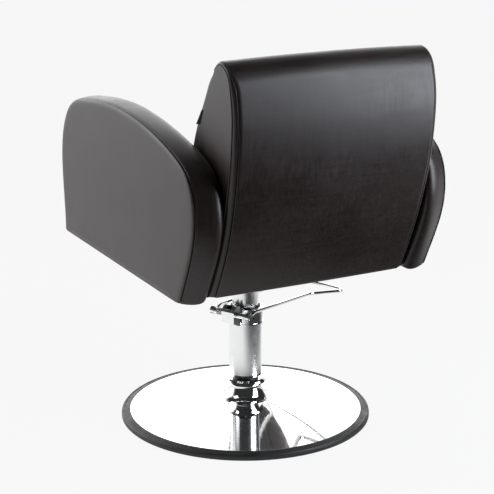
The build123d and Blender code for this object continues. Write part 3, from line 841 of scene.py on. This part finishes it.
def lean_shape(points):
    """Crown of the back's front, with sides inside its edges."""
    x, y, z = points.T
    x = np.clip(x, -lean_half - 0.6 * MM, lean_half + 0.6 * MM)
    front = ease(np.interp(z, rear_inset[:, 1], rear_inset[:, 0]) - y, 25 * MM, 45 * MM)
    low, high = z.min(), z.max()
    share = (z - low) / (high - low)
    crown = np.maximum(0, 1 - (x / lean_half) ** 2) * np.sin(np.pi * np.clip(share, 0, 1)) ** 0.7
    y = y - front * 6 * MM * crown
    return np.stack([x, y, z], 1)


lean_pad = build("back_cushion_cover", *slab(lean, lean_half - 3 * MM, 12 * MM, 4 * MM), "padded_leatherette",
                 body=None)
inflate(lean_pad, lean_held, 7 * MM, lean_shape)
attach(lean_pad, "chair")
lumbar_height = seat_high.z + 0.36 * (back_top - seat_high.z)
across = np.linspace(-1, 1, 90) * (lean_half - 6 * MM)
lumbar_y = np.interp(lumbar_height, front_line[::-1, 1], front_line[::-1, 0]) - 20 * MM
lumbar = np.column_stack([across, np.full(90, lumbar_y), np.full(90, lumbar_height)])
dress(lean_pad, ["back_cushion"], [(lumbar, (0, 0, BESIDE))], "back_front_stitches")

fascia = Outline(flat_side_loop("seat_front_cover"), 3 * MM, 2, 8 * MM)
fascia_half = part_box("seat_front_cover")[1].x
front_cover = build("seat_fascia_cover", *slab(fascia, fascia_half, 3 * MM), "black_leatherette")
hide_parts("seat_front_cover")


# ================================================================ underside cloth
def underside():
    """The dust cover: one layer of cloth stapled under the rails, sagging slightly, open round the column."""
    low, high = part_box("dust_cover")
    tilt = (low.z + 1.2 * MM - high.z) / (high.y - low.y)
    low, high, rim = low - Vector((3, 3, 0)) * MM, high + Vector((3, 3, 0)) * MM, 60 * MM
    corners = [math.atan2(y, x) for x in (low.x, high.x) for y in (low.y, high.y)]
    turns = np.array(sorted(list(np.linspace(-math.pi, math.pi, 121)[:-1]) + corners))
    grid = []
    for share in np.linspace(0, 1, 22):
        ring = []
        for turn in turns:
            c, s = math.cos(turn), math.sin(turn)
            reach = min((high.x if c > 0 else low.x) / c if abs(c) > 1e-9 else 9,
                        (high.y if s > 0 else low.y) / s if abs(s) > 1e-9 else 9)
            r = rim + (reach - rim) * share
            x, y = r * c, r * s
            inside = max(0.0, min(1.0, (reach - r) / (60 * MM)))
            sag = 2.6 * MM * math.sin(math.pi * share) ** 0.8
            pleat = 0.5 * MM * noise.noise(Vector((x, y, 0)) / (26 * MM)) * (1 - inside) * share
            ring.append((x, y, high.z - 0.6 * MM + tilt * (y - low.y) - sag + min(pleat, 0)))
        grid.append(ring)
    count = len(turns)
    points = [p for ring in grid for p in ring]
    faces = [(k * count + i, k * count + (i + 1) % count, (k + 1) * count + (i + 1) % count, (k + 1) * count + i)
             for k in range(len(grid) - 1) for i in range(count)]
    cover = build("dust_cover_cloth", points, faces, "underside_cloth")
    thick = cover.modifiers.new("thick", "SOLIDIFY")
    thick.thickness, thick.offset = 0.5 * MM, 0.0
    cover.data = bpy.data.meshes.new_from_object(cover.evaluated_get(bpy.context.evaluated_depsgraph_get()))
    cover.modifiers.clear()
    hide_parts("dust_cover")
    return low, high, tilt


cover_low, cover_high, cover_tilt = underside()


def staples(low, high, tilt):
    """Flat wire staples along the edge of the underside cloth."""
    points, faces = [], []
    inset, half, wire = 9 * MM, 5.2 * MM, 0.6 * MM
    spots = []
    for x in np.linspace(low.x + 30 * MM, high.x - 30 * MM, 12):
        spots += [(x, low.y + inset, 0), (x, high.y - inset, 0)]
    for y in np.linspace(low.y + 30 * MM, high.y - 30 * MM, 14):
        spots += [(low.x + inset, y, 1), (high.x - inset, y, 1)]
    for index, (x, y, turned) in enumerate(spots):
        skew = 0.25 * noise.noise(Vector((x, y, index)) * 9.0)
        z = high.z + tilt * (y - low.y) - 1.1 * MM
        base = len(points)
        for along, down in ((-half, -0.7), (-half, 0.35), (-half * 0.8, 0.9),
                            (half * 0.8, 0.9), (half, 0.35), (half, -0.7)):
            for across, lift in ((-wire, 0.0), (wire, 0.0), (wire, -0.45 * MM), (-wire, -0.45 * MM)):
                u, v = along, across
                if turned:
                    u, v = v, u
                points.append((x + u - skew * v, y + v + skew * u, z - down * MM * 0.5 - lift))
        for s in range(5):
            for k in range(4):
                a, b = base + 4 * s + k, base + 4 * s + (k + 1) % 4
                faces.append((a, b, b + 4, a + 4))
        faces.append(tuple(base + k for k in range(4)))
        faces.append(tuple(base + 20 + k for k in reversed(range(4))))
    made = build("dust_cover_staples", points, faces, "bright_steel", merge=0.0)


staples(cover_low, cover_high, cover_tilt)


# ================================================================ stage, light and camera
def lamp_panel(name, at, aim, size, power, colour=(1, 1, 1)):
    """A softbox."""
    data = bpy.data.lights.new(name, "AREA")
    data.shape, data.size, data.size_y = "RECTANGLE", size[0], size[1]
    data.energy, data.color = power, colour
    lamp = bpy.data.objects.new(name, data)
    scene.collection.objects.link(lamp)
    lamp.location = at
    lamp.rotation_mode = "QUATERNION"
    lamp.rotation_quaternion = (Vector(aim) - Vector(at)).to_track_quat("-Z", "Y")


FLOOR_HALF = 30.0
WHITE = 0.93


def studio_floor():
    """Pale floor; for reflections and bounced light it carries a painted shadow behind the chair and glows bright on
    the other sides.
    """
    s = Shader("studio_floor", Base_Color=(0.03, 0.03, 0.03, 1), Roughness=0.9, Specular_IOR_Level=0.0,
               Emission_Color=(1, 1, 1, 1))
    x, y = (s.node("SeparateXYZ", output=k, Vector=s.place) for k in (0, 1))
    # Painted shadow: for every ray but the camera's, the floor's glow fades to dark behind the chair and farther back
    # along +Y.
    slant = s.maths("SUBTRACT", y, s.maths("MULTIPLY", x, 0.8))
    outside_painted_shadow = s.maths("MAXIMUM", s.soft(slant, 0.0, 0.85, 0.92, 0.02), s.soft(x, -1.15, -0.7, 0.9, 0.0))
    glow_with_painted_shadow = s.maths("MULTIPLY", outside_painted_shadow, s.soft(y, 0.85, 1.35, 1.0, 0.02))
    seen = s.node("LightPath")
    s.put(s.surface.inputs["Emission Strength"], s.node("Mix", _0=seen, _2=glow_with_painted_shadow, _3=0.915))
    corner = FLOOR_HALF
    mesh = bpy.data.meshes.new("studio_floor")
    mesh.from_pydata([(-corner, -corner, 0), (corner, -corner, 0), (corner, corner, 0), (-corner, corner, 0)], [],
                     [(0, 1, 2, 3)])
    mesh.materials.append(s.finish())
    floor = bpy.data.objects.new("studio_floor", mesh)
    scene.collection.objects.link(floor)
    floor.location.z = -0.5 * MM


def studio_world():
    """White backdrop for the camera; reflections also see the dark half of the room behind it."""
    world = bpy.data.worlds.new("studio")
    scene.world = world
    world.use_nodes = True
    tree = world.node_tree
    background = tree.nodes["Background"]
    output = tree.nodes["World Output"]
    place = tree.nodes.new("ShaderNodeTexCoord")
    split = tree.nodes.new("ShaderNodeSeparateXYZ")
    tree.links.new(place.outputs["Generated"], split.inputs[0])

    def spread(value, low, high, start, end):
        made = tree.nodes.new("ShaderNodeMapRange")
        made.interpolation_type = "SMOOTHSTEP"
        tree.links.new(value, made.inputs["Value"])
        for key, number in (("From Min", low), ("From Max", high), ("To Min", start), ("To Max", end)):
            made.inputs[key].default_value = number
        return made.outputs[0]

    def times(a, b):
        made = tree.nodes.new("ShaderNodeMath")
        made.operation = "MULTIPLY"
        tree.links.new(a, made.inputs[0])
        tree.links.new(b, made.inputs[1])
        return made.outputs[0]

    backdrop = times(spread(split.outputs[1], -0.75, -0.1, 1.0, 0.0), spread(split.outputs[2], 0.45, 0.8, 1.0, 0.0))
    tree.links.new(spread(backdrop, 0.0, 1.0, 0.03, 2.3), background.inputs["Strength"])
    background.inputs["Color"].default_value = (1, 1, 1, 1)
    plain = tree.nodes.new("ShaderNodeBackground")
    plain.inputs["Color"].default_value = (WHITE, WHITE, WHITE, 1)
    path, mix = tree.nodes.new("ShaderNodeLightPath"), tree.nodes.new("ShaderNodeMixShader")
    tree.links.new(path.outputs["Is Camera Ray"], mix.inputs[0])
    tree.links.new(background.outputs[0], mix.inputs[1])
    tree.links.new(plain.outputs[0], mix.inputs[2])
    tree.links.new(mix.outputs[0], output.inputs["Surface"])


studio_floor()
studio_world()
lamp_panel("front_side_softbox", (2.2, -2.4, 1.1), (0.3, 0.0, 0.6), (1.6, 1.6), 11, (0.92, 0.95, 1.0))
lamp_panel("high_side_softbox", (2.1, -0.2, 2.4), (0.3, 0.1, 0.6), (1.2, 1.2), 13, (0.92, 0.95, 1.0))
lamp_panel("far_side_softbox", (-1.35, 1.60, 1.20), (-0.15, 0.40, 0.72), (1.1, 2.1), 56, (0.86, 0.92, 1.0))
lamp_panel("top_softbox", (0.2, -1.6, 2.6), (0.0, 0.0, 0.6), (1.8, 1.2), 6)

camera = bpy.data.objects.new("camera", bpy.data.cameras.new("camera"))
scene.collection.objects.link(camera)
camera.location = (1.6556, 2.9950, 1.3713)
camera.rotation_euler = (math.radians(90 - 15.6), 0, math.radians(151))
camera.data.lens, camera.data.sensor_width = 109.56, 36
scene.camera = camera
scene.view_settings.view_transform = "Standard"
